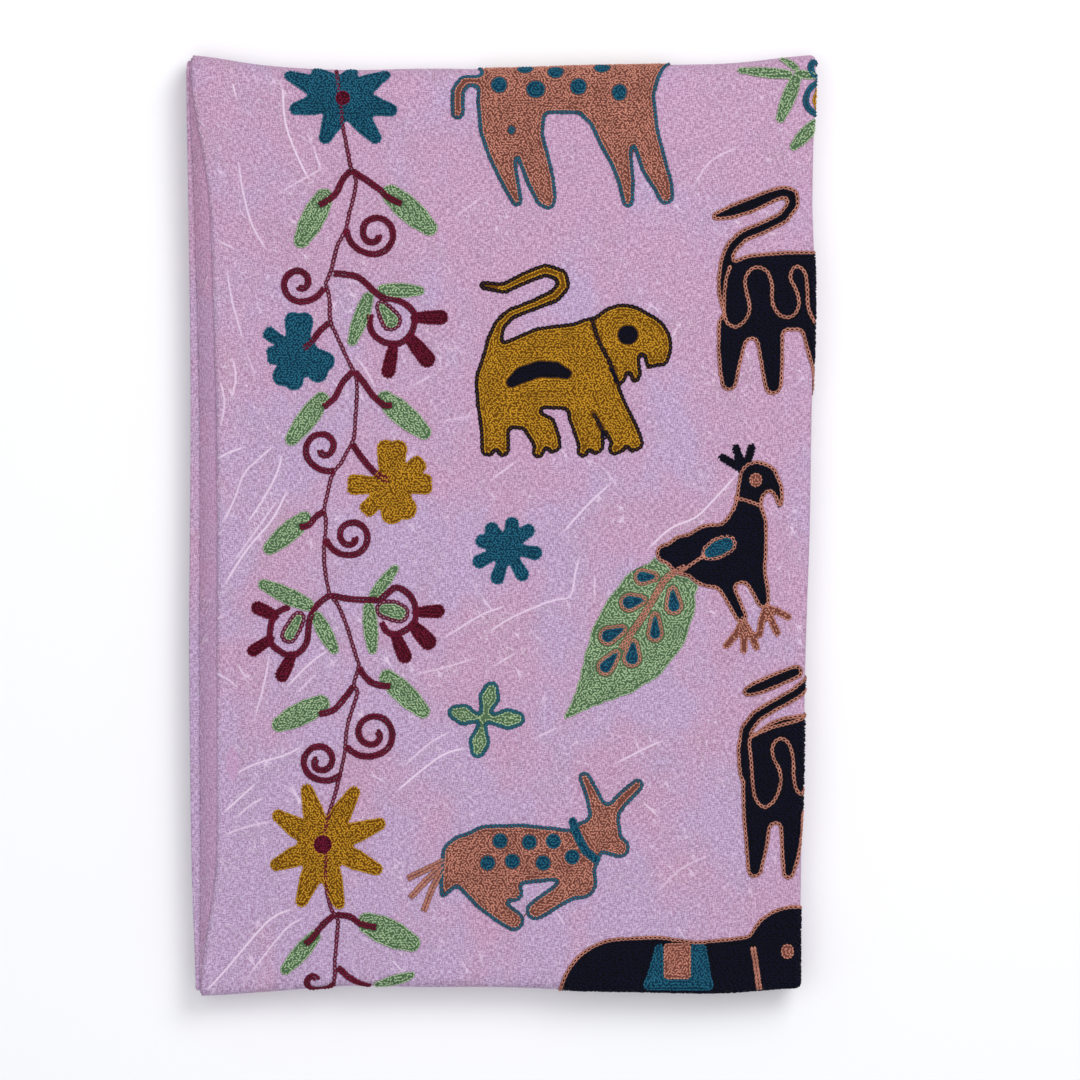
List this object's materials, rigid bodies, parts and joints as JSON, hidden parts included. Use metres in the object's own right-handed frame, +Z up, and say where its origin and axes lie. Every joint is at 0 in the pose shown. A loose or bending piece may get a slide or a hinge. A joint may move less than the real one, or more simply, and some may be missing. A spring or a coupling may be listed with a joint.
{
  "type": "folded suzani bedcover",
  "caption": "Embroidered cotton bedcover folded flat into an oblong stack, with hemmed layers along one side and rounded folds at the other side and both ends.",
  "frame": {"origin": "centre of the bounding box at its base, on the surface that the folded cloth lies on", "axes": "+Z up through the layers, +Y along the long edge towards the broad fold, +X from the hemmed side to the folded side"},
  "size_m": [0.3926, 0.5862, 0.031],
  "materials": {
    "ground_cloth": "soft napped pink cotton with crush marks",
    "wine_yarn": "matte cotton yarn in chain stitch",
    "green_yarn": "matte cotton yarn in chain stitch",
    "teal_yarn": "matte cotton yarn in chain stitch",
    "mustard_yarn": "matte cotton yarn in chain stitch",
    "terracotta_yarn": "matte cotton yarn in chain stitch",
    "navy_yarn": "matte cotton yarn in chain stitch"
  },
  "bodies": {
    "root": {"folded_cloth": "ground_cloth"}
  },
  "joints": []
}
